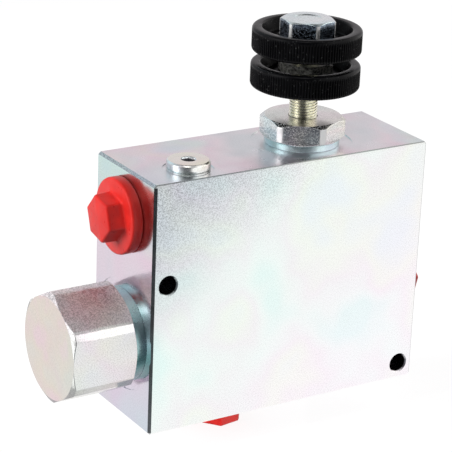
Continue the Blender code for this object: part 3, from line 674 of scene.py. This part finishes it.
# Bluer towards the top's front left corner: partly the zinc's tint, partly a painted reflection
TOP_CORNER_TINTS_AND_REFLECTION = [(0.35, (0.68, 0.84, 0.88)), (0.65, (0.78, 0.89, 0.92))]
STRAW_TINTS = [(0.38, (0.95, 0.82, 0.83)), (0.5, (0.91, 0.86, 0.77)), (0.62, (0.88, 0.87, 0.8))]
CAP_TINTS = [(0.35, (0.77, 0.73, 0.74)), (0.5, (0.77, 0.75, 0.76)), (0.65, (0.77, 0.76, 0.73))]
PALE_TINTS = [(0.35, (0.84, 0.92, 0.95)), (0.5, (0.92, 0.93, 0.93)), (0.65, (0.88, 0.86, 0.8))]
FACE_TINTS = [(0.35, (0.8, 0.8, 0.77)), (0.65, (0.84, 0.82, 0.81))]
BOLT_TINTS = [(0.35, (0.54, 0.64, 0.8)), (0.65, (0.7, 0.79, 0.95))]
PLUG_FACE_TINTS = [(0.35, (0.88, 0.83, 0.78)), (0.65, (0.88, 0.86, 0.74))]
BOLT_FACE_TINTS = [(0.35, (0.74, 0.82, 0.86)), (0.65, (0.87, 0.88, 0.88))]
BLUE_TINTS = [(0.35, (0.52, 0.74, 0.74)), (0.65, (0.68, 0.88, 0.9))]
TEAL_TINTS = [(0.35, (0.3, 0.62, 0.59)), (0.65, (0.58, 0.8, 0.78))]
PASTEL_TINTS = [
    (0.32, (0.86, 1, 0.98)),
    (0.42, (0.98, 1, 0.99)),
    (0.5, (1, 0.92, 0.96)),
    (0.58, (1, 0.99, 0.93)),
    (0.68, (0.93, 0.95, 1)),
]


def pastel(tree, coords, tints, share):
    """Tints with the faint rainbow blotches of passivated zinc laid over them."""
    return blend(tree, "MULTIPLY", share, tints, ramp(tree, noise(tree, coords, 34 * MM, 2), PASTEL_TINTS))


def block_look(name):
    """Plated block: pale tints that differ from face to face, in part painted reflection, and painted shade
    in its screw holes.
    """
    material, tree, shader, coords = start_look(name)
    uneven = wander(tree, coords, 35 * MM, 16 * MM)
    low, high = block_low, block_high

    # Tints of each face
    on_top = facing(tree, "Z", 0.75, 0.9)
    on_side = facing(tree, "X", 0.75, 0.9)
    cloud = noise(tree, coords, 30 * MM, 2)
    side = ramp(tree, along(tree, uneven, (0, 0, 1), low.z, high.z + 8 * MM), SIDE_TINTS)
    side_corner = along(tree, uneven, (0, -0.7, -0.7), 30 * MM, 54 * MM)
    side = blend(tree, "MIX", side_corner, side, ramp(tree, cloud, SIDE_CORNER_TINTS))
    reach = (high.x - low.x) / 2
    # Greyer towards the front's upper left: partly plating, partly painted reflection
    reflection_slant = along(tree, uneven, (0.7, 0, -0.7), -reach, reach)
    front = ramp(tree, reflection_slant, FRONT_TINTS_AND_REFLECTION)
    # Bluer at the top's front left corner: partly tint, partly painted reflection
    reflection_corner = along(tree, uneven, (-0.6, -0.8, 0), 28 * MM, 58 * MM)
    top = blend(tree, "MIX", reflection_corner, ramp(tree, cloud, TOP_TINTS), ramp(tree, cloud, TOP_CORNER_TINTS_AND_REFLECTION))
    tints = blend(tree, "MIX", on_side, front, side)
    tints = pastel(tree, coords, blend(tree, "MIX", on_top, tints, top), 0.7)
    left_hole = (low.x + SCREW_HOLE_EDGE, 0, low.z + SCREW_HOLE_LEFT_HEIGHT)
    right_hole = (high.x - SCREW_HOLE_EDGE, 0, low.z + SCREW_HOLE_RIGHT_HEIGHT)
    # Painted shade inside both screw holes
    for centre in (left_hole, right_hole):
        tints = blend(tree, "MULTIPLY", 1, tints, painted_hole_shade(tree, coords, centre))

    # Grain: coarse towards the upper left of the front, faint elsewhere
    fine = noise(tree, coords, 0.5 * MM, 2)
    coarse_grain = ramp(tree, cells(tree, coords, 0.26 * MM), [(0.25, (0.55,) * 3), (0.55, (1, 1, 1))])
    faint_grain = ramp(tree, fine, [(0.3, (0.9,) * 3), (0.6, (1, 1, 1))])
    below = along(tree, uneven, (0.55, 0, -0.83), -64 * MM, -22 * MM)
    shades = blend(tree, "MIX", below, coarse_grain, faint_grain)
    shades = blend(tree, "MIX", on_side, shades, faint_grain)
    shades = blend(tree, "MIX", on_top, shades, faint_grain)

    # Painted dark reflection: a line on the chamfers that look both up and along Y
    dark = spread(tree, facing(tree, "Z", 0.5, 0.6), 0, 1, 1, EDGE_REFLECTION_SHADE)
    dark = spread(tree, facing(tree, "Y", 0.5, 0.6), 0, 1, 1, dark)
    line = spread(tree, along(tree, coords, (0, 0, 1), *EDGE_REFLECTION_LINE), 0, 1, 1, dark)
    shades = blend(tree, "MULTIPLY", 1, shades, line)
    tree.links.new(blend(tree, "MULTIPLY", 1, tints, shades), shader.inputs["Base Color"])

    # Gloss: the top face is duller than the sides
    least = spread(tree, on_top, 0, 1, 0.12, 0.27)
    most = spread(tree, on_top, 0, 1, 0.18, 0.36)
    rough = spread(tree, noise(tree, coords, 6 * MM, 3), 0.3, 0.7, least, most)
    tree.links.new(rough, shader.inputs["Roughness"])
    shader.inputs["Metallic"].default_value = 1
    bump(tree, shader, fine, 0.004 * MM)
    return material


def zinc_look(name, stops, roughness, grain, speckle, relief):
    """Plated fitting with soft blotches of tint over a grain that shows in colour and relief."""
    material, tree, shader, coords = start_look(name)
    tints = pastel(tree, coords, ramp(tree, noise(tree, coords, 14 * MM, 2), stops), 0.6)
    fine = noise(tree, coords, grain, 2)
    shades = ramp(tree, fine, [(0.35, (speckle,) * 3), (0.6, (1, 1, 1))])
    tree.links.new(blend(tree, "MULTIPLY", 1, tints, shades), shader.inputs["Base Color"])
    rough = spread(tree, noise(tree, coords, 6 * MM, 3), 0.3, 0.7, roughness * 0.8, roughness * 1.25)
    tree.links.new(rough, shader.inputs["Roughness"])
    shader.inputs["Metallic"].default_value = 1
    bump(tree, shader, fine, relief)
    return material


def roughen(material, direction, low, high, crystal, rarity, metallic, shades, roughness=None):
    """Let a finish turn coarse, with matt crystals of a size, between two distances along a direction.

    A higher rarity leaves fewer crystals, metallic is theirs, and shades are the darkest and lightest
    share of the colour. Roughness is the smooth and the coarse part's, where the two differ.
    """
    tree = material.node_tree
    shader = tree.nodes["Principled BSDF"]
    coords = tree.nodes.new("ShaderNodeTexCoord").outputs["Object"]
    share = along(tree, coords, direction, low, high)
    if roughness:
        tree.links.new(spread(tree, share, 0, 1, *roughness), shader.inputs["Roughness"])
    grains = cells(tree, coords, crystal)
    matt = spread(tree, share, 0, 1, 1, metallic)
    tree.links.new(spread(tree, grains, rarity, rarity + 0.2, 1, matt), shader.inputs["Metallic"])
    tints = shader.inputs["Base Color"].links[0].from_socket
    grit = ramp(tree, grains, [(0.35, (shades[0],) * 3), (0.6, (shades[1],) * 3)])
    tree.links.new(blend(tree, "MULTIPLY", share, tints, grit), shader.inputs["Base Color"])


def worn_and_highlit_corners(material, low, high, shade, metallic):
    """Let a hexagon's corners show pale between two distances from its axis: partly edge wear, partly a
    painted highlight.
    """
    tree = material.node_tree
    shader = tree.nodes["Principled BSDF"]
    coords = tree.nodes.new("ShaderNodeTexCoord").outputs["Object"]
    share = outward(tree, coords, low, high)
    tints = shader.inputs["Base Color"].links[0].from_socket
    pale = ramp(tree, share, [(0, (0, 0, 0)), (1, (shade,) * 3)])
    tree.links.new(blend(tree, "LIGHTEN", 1, tints, pale), shader.inputs["Base Color"])
    plating = shader.inputs["Metallic"].links[0].from_socket
    tree.links.new(spread(tree, share, 0, 1, plating, metallic), shader.inputs["Metallic"])


def steel_look(name, dark, light, roughness, metallic=1):
    """Machined metal with a slight grain in its colour and its gloss."""
    material, tree, shader, coords = start_look(name)
    fine = noise(tree, coords, 0.8 * MM, 3)
    tree.links.new(ramp(tree, fine, [(0.35, dark), (0.65, light)]), shader.inputs["Base Color"])
    rough = spread(tree, noise(tree, coords, 3 * MM, 2), 0.3, 0.7, roughness * 0.8, roughness * 1.2)
    tree.links.new(rough, shader.inputs["Roughness"])
    shader.inputs["Metallic"].default_value = metallic
    bump(tree, shader, fine, 0.01 * MM)
    return material


def plastic_look(name, dark, light, roughness, relief, shine):
    """Moulded plastic or rubber with a mottled colour and a fine skin."""
    material, tree, shader, coords = start_look(name)
    mottle = noise(tree, coords, 4 * MM, 4)
    tree.links.new(ramp(tree, mottle, [(0.35, dark), (0.68, light)]), shader.inputs["Base Color"])
    rough = spread(tree, noise(tree, coords, 2 * MM, 3), 0.3, 0.7, roughness * 0.8, roughness * 1.25)
    tree.links.new(rough, shader.inputs["Roughness"])
    shader.inputs["Specular IOR Level"].default_value = shine
    bump(tree, shader, noise(tree, coords, 0.5 * MM, 2), relief)
    return material


def dust(material, size, shade):
    """Scatter fine pale specks over a finish."""
    tree = material.node_tree
    color = tree.nodes["Principled BSDF"].inputs["Base Color"]
    coords = tree.nodes.new("ShaderNodeTexCoord").outputs["Object"]
    specks = ramp(tree, cells(tree, coords, size), [(0.85, (0, 0, 0)), (0.9, (shade,) * 3)])
    tree.links.new(blend(tree, "ADD", 1, color.links[0].from_socket, specks), color)


def dress(node, material):
    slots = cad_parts[node].data.materials
    slots.clear()
    slots.append(material)


# Studio

# Cards that shiny surfaces mirror: direction, angles of the full and the faded part, colour level
ROOM_LEVEL = (0.55, 0.55, 0.56)
CARDS = [
    ((0.45, -0.8, -0.35), 28, 55, (1.12, 1.13, 1.14)),
    ((0.93, -0.12, -0.35), 25, 45, (1.0, 0.97, 0.96)),
    ((0.5, 0.79, 0.35), 22, 42, (0.78, 0.75, 0.77)),
    ((-0.5, 0.79, -0.35), 16, 34, (0.84, 0.82, 0.83)),
    ((0.5, 0.09, 0.86), 16, 34, (0.4, 0.37, 0.37)),
    ((0.06, 0.16, 0.99), 14, 28, (0.12, 0.12, 0.13)),
    ((-0.35, 0.79, 0.5), 12, 26, (0.68, 0.77, 0.82)),
    ((0.5, 0.35, -0.79), 9, 17, (1.1, 1.1, 1.1)),
    ((0.5, 0.7, -0.51), 9, 17, (0.95, 0.95, 0.93)),
    ((0.5, -0.1, -0.86), 9, 18, (0.85, 0.85, 0.83)),
    ((0.5, -0.7, 0.51), 15, 24, (1.6, 1.6, 1.6)),
    ((-0.93, 0.12, -0.35), 14, 26, (1.6, 1.6, 1.6)),
    ((-0.7, -0.62, -0.35), 22, 40, (0.17, 0.18, 0.2)),
    ((-0.79, -0.49, -0.36), 4, 7, (0.03, 0.03, 0.03)),
    ((-0.47, -0.8, 0.3), 18, 34, (0.08, 0.08, 0.09)),
    ((0.5, -0.35, 0.79), 8, 16, (1.1, 1.1, 1.1)),
    ((-0.3, -0.35, 0.89), 7, 15, (2.5, 2.5, 2.5)),
    ((0.93, -0.12, 0.35), 18, 32, (1.4, 1.38, 1.36)),
    ((-0.93, 0.12, 0.35), 12, 24, (2.2, 2.2, 2.2)),
]


def background(tree, strength):
    node = tree.nodes.new("ShaderNodeBackground")
    node.inputs["Color"].default_value = (1, 1, 1, 1)
    node.inputs["Strength"].default_value = strength
    return node.outputs["Background"]


def choose(tree, choice, otherwise, chosen):
    node = tree.nodes.new("ShaderNodeMixShader")
    tree.links.new(choice, node.inputs["Fac"])
    tree.links.new(otherwise, node.inputs[1])
    tree.links.new(chosen, node.inputs[2])
    return node.outputs["Shader"]


def make_world():
    """White for the camera, an even level for matt surfaces, and soft cards for shiny ones to mirror."""
    world = bpy.data.worlds.new("studio")
    bpy.context.scene.world = world
    world.use_nodes = True
    tree = world.node_tree
    tree.nodes.clear()
    direction = tree.nodes.new("ShaderNodeTexCoord").outputs["Generated"]
    color = None
    for aim, inner, outer, level in CARDS:
        dot = tree.nodes.new("ShaderNodeVectorMath")
        dot.operation = "DOT_PRODUCT"
        dot.inputs[1].default_value = Vector(aim).normalized()
        tree.links.new(direction, dot.inputs[0])
        edge = tree.nodes.new("ShaderNodeMapRange")
        edge.interpolation_type = "SMOOTHSTEP"
        edge.inputs["From Min"].default_value = math.cos(math.radians(outer))
        edge.inputs["From Max"].default_value = math.cos(math.radians(inner))
        tree.links.new(dot.outputs["Value"], edge.inputs["Value"])
        mix = tree.nodes.new("ShaderNodeMix")
        mix.data_type = "RGBA"
        mix.inputs["A"].default_value = (*ROOM_LEVEL, 1)
        mix.inputs["B"].default_value = (*level, 1)
        tree.links.new(edge.outputs["Result"], mix.inputs["Factor"])
        if color:
            tree.links.new(color, mix.inputs["A"])
        color = mix.outputs["Result"]
    mirrored = tree.nodes.new("ShaderNodeBackground")
    tree.links.new(color, mirrored.inputs["Color"])
    rays = tree.nodes.new("ShaderNodeLightPath")
    seen = choose(tree, rays.outputs["Is Camera Ray"], background(tree, DIFFUSE_LEVEL), background(tree, 1))
    seen = choose(tree, rays.outputs["Is Glossy Ray"], seen, mirrored.outputs["Background"])
    output = tree.nodes.new("ShaderNodeOutputWorld")
    tree.links.new(seen, output.inputs["Surface"])


def make_floor():
    """Plain pale floor that the lowest plug stands on. Shiny surfaces mirror the cards instead."""
    bm = bmesh.new()
    bmesh.ops.create_grid(bm, x_segments=1, y_segments=1, size=FLOOR_SIZE / 2)
    mesh = bpy.data.meshes.new("floor")
    bm.to_mesh(mesh)
    bm.free()
    floor = bpy.data.objects.new("floor", mesh)
    floor.location = (0, 0, cad_bounds[0][2])
    floor.visible_glossy = False
    material, tree, shader, coords = start_look("floor_paper")
    tone = noise(tree, coords, 80 * MM, 2)
    tree.links.new(ramp(tree, tone, [(0.3, (0.2,) * 3), (0.7, (0.22,) * 3)]), shader.inputs["Base Color"])
    shader.inputs["Emission Color"].default_value = (1, 1, 1, 1)
    rays = tree.nodes.new("ShaderNodeLightPath")
    glow = spread(tree, rays.outputs["Is Camera Ray"], 0, 1, FLOOR_BOUNCE, FLOOR_GLOW)
    tree.links.new(glow, shader.inputs["Emission Strength"])
    shader.inputs["Roughness"].default_value = 0.9
    shader.inputs["Specular IOR Level"].default_value = 0
    mesh.materials.append(material)
    bpy.context.scene.collection.objects.link(floor)


def make_light(lamp, place, aim, power):
    lamp.energy = power
    light = bpy.data.objects.new(lamp.name, lamp)
    light.location = place
    light.rotation_euler = (Vector(aim) - Vector(place)).to_track_quat("-Z", "Y").to_euler()
    light.visible_glossy = False
    bpy.context.scene.collection.objects.link(light)


def make_lights():
    """Two soft lamps on the block, and narrow ones on the plugs below it and at its left."""
    for name, place, power in (("key", KEY_AT, KEY_WATTS), ("side_fill", SIDE_FILL_AT, SIDE_FILL_WATTS)):
        lamp = bpy.data.lights.new(name, "AREA")
        lamp.size = LAMP_SIZE
        make_light(lamp, place, (0, 0, 0), power)
    low = bpy.data.lights.new("low_fill", "SPOT")
    low.spot_size = LOW_FILL_CONE
    make_light(low, LOW_FILL_AT, middle("tank_plug"), LOW_FILL_WATTS)
    high = bpy.data.lights.new("high_fill", "SPOT")
    high.spot_size = HIGH_FILL_CONE
    make_light(high, HIGH_FILL_AT, middle("inlet_plug"), HIGH_FILL_WATTS)


def make_camera():
    data = bpy.data.cameras.new("camera")
    data.lens = CAMERA_LENS_MM
    camera = bpy.data.objects.new("camera", data)
    look = (Vector(CAMERA_AIM) - Vector(CAMERA_AT)).to_track_quat("-Z", "Y").to_matrix().to_4x4()
    camera.matrix_world = Matrix.Translation(CAMERA_AT) @ look @ Matrix.Rotation(CAMERA_ROLL, 4, "Z")
    bpy.context.scene.collection.objects.link(camera)
    bpy.context.scene.camera = camera


def main():
    # Plated zinc
    block = block_look("zinc_on_block")
    nut_bar = zinc_look("zinc_on_nut_bar", PALE_TINTS, 0.2, 0.45 * MM, 0.8, 0.003 * MM)
    cap_bar = zinc_look("zinc_on_cap_bar", CAP_TINTS, 0.16, 0.4 * MM, 0.8, 0.002 * MM)
    # The cap's upper flats turn coarse with matt crystals and are drawn lighter, to up to 1.28 of their
    # colour: partly a coarser finish, partly painted light from above
    flat_from = CAP_BAR / 2 + 0.9 * MM
    flat_to = flat_from + 0.2 * MM
    roughen(cap_bar, (1, 0, 0), flat_from, flat_to, 0.32 * MM, 0.4, 0.15, (0.9, 1.28), (0.14, 0.42))
    roughen(nut_bar, (0, 0, 1), ALL_HEIGHTS, 0, 0.28 * MM, 0.58, 0.5, (0.76, 1))
    # Pale corners on the nut: partly wear, partly a painted highlight
    worn_and_highlit_corners(nut_bar, GLAND_BAR - 0.25 * MM, GLAND_BAR - 0.05 * MM, 0.9, 0.4)
    bolt_bar = zinc_look("zinc_on_bolt_bar", BOLT_TINTS, 0.2, 0.45 * MM, 0.8, 0.003 * MM)
    roughen(bolt_bar, (0, 0, 1), ALL_HEIGHTS, 0, 0.32 * MM, 0.54, 0.72, (0.26, 0.64))
    # Pale corners on the bolt's head: partly wear, partly a painted highlight
    worn_and_highlit_corners(bolt_bar, HEAD_BAR - 0.3 * MM, HEAD_BAR - 0.05 * MM, 0.8, 0.3)
    turned = zinc_look("zinc_on_turned_face", STRAW_TINTS, 0.14, 0.6 * MM, 0.95, 0.002 * MM)
    plug_face = zinc_look("zinc_on_plug_face", PLUG_FACE_TINTS, 0.14, 0.6 * MM, 0.95, 0.002 * MM)
    bolt_face = zinc_look("zinc_on_bolt_face", BOLT_FACE_TINTS, 0.18, 0.6 * MM, 0.85, 0.004 * MM)
    gland_face = zinc_look("zinc_on_gland_face", FACE_TINTS, 0.26, 0.5 * MM, 0.85, 0.004 * MM)
    collar = zinc_look("zinc_on_gland_collar", BLUE_TINTS, 0.2, 0.6 * MM, 0.9, 0.003 * MM)
    neck = zinc_look("zinc_on_neck", TEAL_TINTS, 0.26, 0.6 * MM, 0.9, 0.003 * MM)
    plug_side = zinc_look("zinc_on_plug_collar", PALE_TINTS, 0.22, 0.6 * MM, 0.9, 0.003 * MM)

    # Steel
    thread_steel = steel_look("oiled_thread_steel", (0.75, 0.74, 0.58), (0.95, 0.93, 0.8), 0.22)
    bright = steel_look("bright_steel", (0.5, 0.5, 0.49), (0.68, 0.68, 0.66), 0.25)
    dark_nut = steel_look("oiled_nut_steel", (0.015, 0.015, 0.015), (0.12, 0.12, 0.115), 0.2)
    lock_steel = steel_look("lock_nut_steel", (0.006, 0.006, 0.006), (0.2, 0.2, 0.185), 0.3, 0.3)
    wire = steel_look("spring_wire", (0.25, 0.25, 0.27), (0.4, 0.4, 0.42), 0.35)

    # Rubber and plastic
    rubber = plastic_look("nitrile_rubber", (0.012, 0.012, 0.012), (0.03, 0.03, 0.03), 0.6, 0.02 * MM, 0.5)
    black = (0.0015, 0.0015, 0.002)
    soot = (0.004, 0.004, 0.005)
    ribbed = plastic_look("black_plastic_ribs", black, soot, 0.3, 0.008 * MM, 0.06)
    rims = plastic_look("black_plastic_rims", black, soot, 0.22, 0.004 * MM, 0.1)
    dust(ribbed, 0.42 * MM, 0.045)
    dust(rims, 0.4 * MM, 0.03)
    red = plastic_look("red_polyethylene", (0.6, 0.016, 0.013), (0.7, 0.026, 0.02), 0.34, 0.006 * MM, 0.36)

    # Pieces drawn again with their fine shape
    make_gland_nut(gland_face, nut_bar, collar)
    make_spindle(bolt_bar, bolt_face, thread_steel)
    make_knob("adjusting_knob", "spindle", rims, ribbed)
    make_knob("lock_knob", "lock", rims, ribbed)
    make_cap(turned, cap_bar, neck)
    # The darker wire steel inside the hex socket is painted shade
    make_passage_plug(plug_face, plug_side, wire)
    for node in PORTS:
        make_stopper(node, red)

    # Pieces that keep their shape
    dress("valve_body", block)
    for node in ("metering_spool", "compensator_spool"):
        dress(node, bright)
    for node in ("adjusting_knob_insert", "lock_knob_insert"):
        dress(node, dark_nut)
    dress("lock_nut", lock_steel)
    for node in ("spindle_stop_ring", "metering_spring", "compensator_spring"):
        dress(node, wire)
    for node in ("gland_o_ring", "spindle_o_ring", "cap_o_ring", "passage_plug_o_ring"):
        dress(node, rubber)

    make_world()
    make_floor()
    make_lights()
    make_camera()
    bpy.context.scene.view_settings.view_transform = "Standard"


main()
